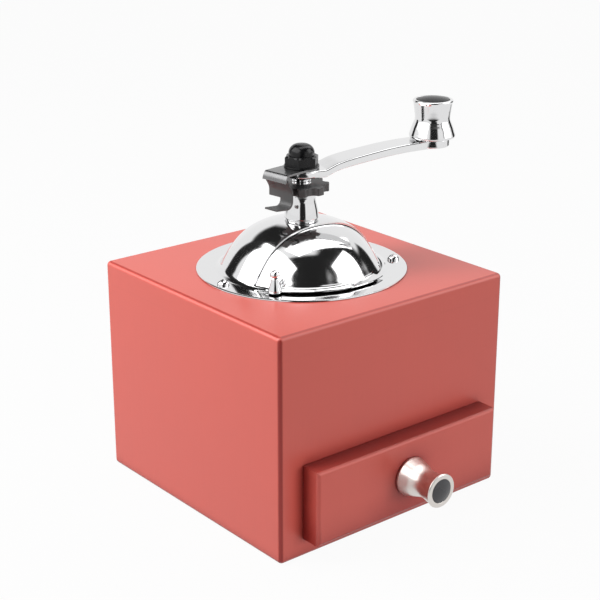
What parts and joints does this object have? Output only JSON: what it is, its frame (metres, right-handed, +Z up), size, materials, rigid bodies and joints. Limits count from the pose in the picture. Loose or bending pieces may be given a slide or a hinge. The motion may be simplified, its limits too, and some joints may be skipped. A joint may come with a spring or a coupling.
{
  "type": "hand crank coffee grinder",
  "caption": "Wooden box mill with a spun chrome hopper dome and turning shutter, a raised hand crank over conical burrs, a lobed grind adjuster with a sprung latch, and a catch drawer.",
  "frame": {"origin": "centre of the flat underside, on the spindle axis", "axes": "+Z up along the spindle, -Y towards the drawer front, +X to the drawer's right seen from the front"},
  "size_m": [0.1572, 0.1861, 0.2062],
  "materials": {
    "red_lacquer": "satin red lacquer over smooth wood",
    "bare_wood": "plain pale wood, lightly sealed",
    "chrome": "mirror chrome plate",
    "bright_screw": "plated slotted screws",
    "plain_steel": "turned plain steel",
    "black_metal": "glossy black finish on steel",
    "black_cap": "domed black caps",
    "burr_steel": "hardened ground steel",
    "cast_housing": "as cast, lightly oiled",
    "bush_brass": "turned brass",
    "funnel_steel": "pressed sheet steel"
  },
  "bodies": {
    "case": {"front_panel": "red_lacquer", "back_panel": "red_lacquer", "left_panel": "red_lacquer", "right_panel": "red_lacquer", "top_panel": "red_lacquer", "base_panel": "bare_wood", "drawer_guide_left": "bare_wood", "drawer_guide_right": "bare_wood", "hopper_dome": "chrome", "neck_collar": "chrome", "upper_bush": "bush_brass", "hopper_funnel": "funnel_steel", "burr_housing": "cast_housing", "outer_burr": "burr_steel", "lower_bridge": "cast_housing", "lower_bush": "bush_brass", "flange_screw_1": "bright_screw", "flange_screw_2": "bright_screw", "flange_screw_3": "bright_screw", "housing_screw_1": "plain_steel", "housing_screw_2": "plain_steel", "housing_screw_3": "plain_steel", "bridge_screw_1": "plain_steel", "bridge_screw_2": "plain_steel", "bridge_screw_3": "plain_steel"},
    "crank": {"spindle": "plain_steel", "inner_burr": "burr_steel", "burr_nut": "plain_steel", "crank_arm": "chrome", "knob_axle": "plain_steel", "acorn_nut": "black_metal", "latch_plate": "black_metal", "latch_pin": "plain_steel"},
    "wheel": {"adjusting_wheel": "black_metal"},
    "latch": {"latch_tongue": "black_metal"},
    "knob": {"crank_knob": "chrome", "crank_knob_cap": "black_cap"},
    "drawer": {"drawer_front": "red_lacquer", "drawer_left_side": "bare_wood", "drawer_right_side": "bare_wood", "drawer_back": "bare_wood", "drawer_bottom": "bare_wood", "drawer_knob": "chrome", "drawer_knob_cap": "black_cap", "drawer_knob_screw": "plain_steel"},
    "shutter": {"shutter": "chrome", "shutter_post": "chrome"}
  },
  "joints": [
    {"name": "crank_spin", "type": "hinge", "parent": "case", "child": "crank", "pos_m": [0, 0, 0.17], "axis": [0, 0, 1], "continuous": true},
    {"name": "wheel_turn", "type": "hinge", "parent": "crank", "child": "wheel", "pos_m": [0, 0, 0.164], "axis": [0, 0, 1], "range_deg": [-180, 180]},
    {"name": "latch_flex", "type": "hinge", "parent": "crank", "child": "latch", "pos_m": [-0.01787, -0.00219, 0.1728], "axis": [-0.1219, 0.9925, 0], "range_deg": [0, 12], "stiffness_Nm_per_rad": 0.2},
    {"name": "knob_spin", "type": "hinge", "parent": "crank", "child": "knob", "pos_m": [0.0698, -0.02458, 0.19], "axis": [0, 0, 1], "continuous": true},
    {"name": "drawer_slide", "type": "slide", "parent": "case", "child": "drawer", "axis": [0, -1, 0], "range_m": [0, 0.105]},
    {"name": "shutter_turn", "type": "hinge", "parent": "case", "child": "shutter", "pos_m": [0, 0, 0.14], "axis": [0, 0, 1], "range_deg": [0, 45]}
  ]
}
